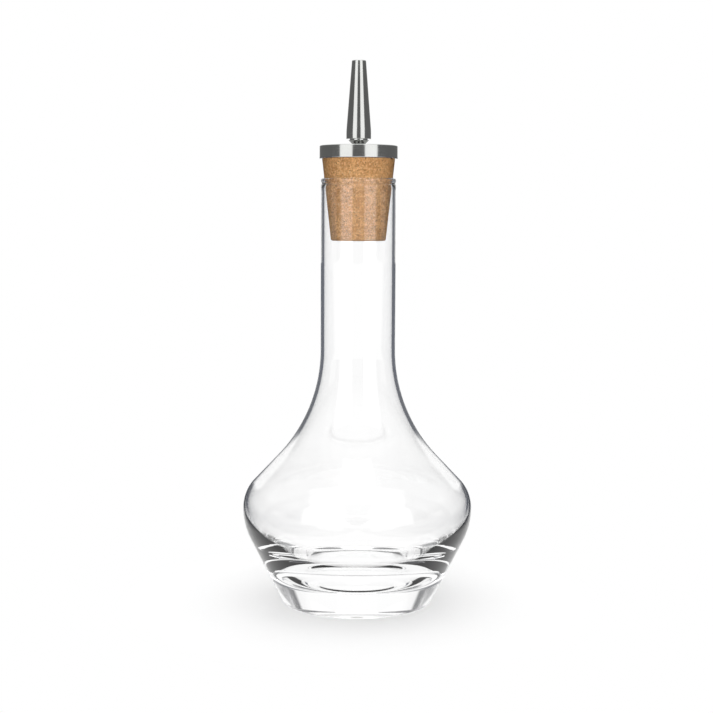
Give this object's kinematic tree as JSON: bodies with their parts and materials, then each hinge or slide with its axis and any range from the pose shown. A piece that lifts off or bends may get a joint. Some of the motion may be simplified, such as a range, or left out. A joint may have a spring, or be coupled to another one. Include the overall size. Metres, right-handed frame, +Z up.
{
  "type": "bitters bottle",
  "caption": "Clear glass dasher bottle with a slim neck, wide low belly and heavy foot, closed by a tapered cork with a steel disc and pouring spout.",
  "frame": {"origin": "middle of the circle on which the bottle stands, at the height of the surface under it", "axes": "+Z up along the axis of the bottle, cork and spout; the front, seen by the camera, faces -Y"},
  "size_m": [0.07, 0.07, 0.164],
  "materials": {
    "glass": "clear, smooth, colourless",
    "cork": "bare fine-grained pressed cork",
    "disc_steel": "satin, turned",
    "spout_steel": "polished"
  },
  "bodies": {
    "root": {"bottle": "glass", "cork": "cork", "disc": "disc_steel", "spout": "spout_steel"}
  },
  "joints": []
}
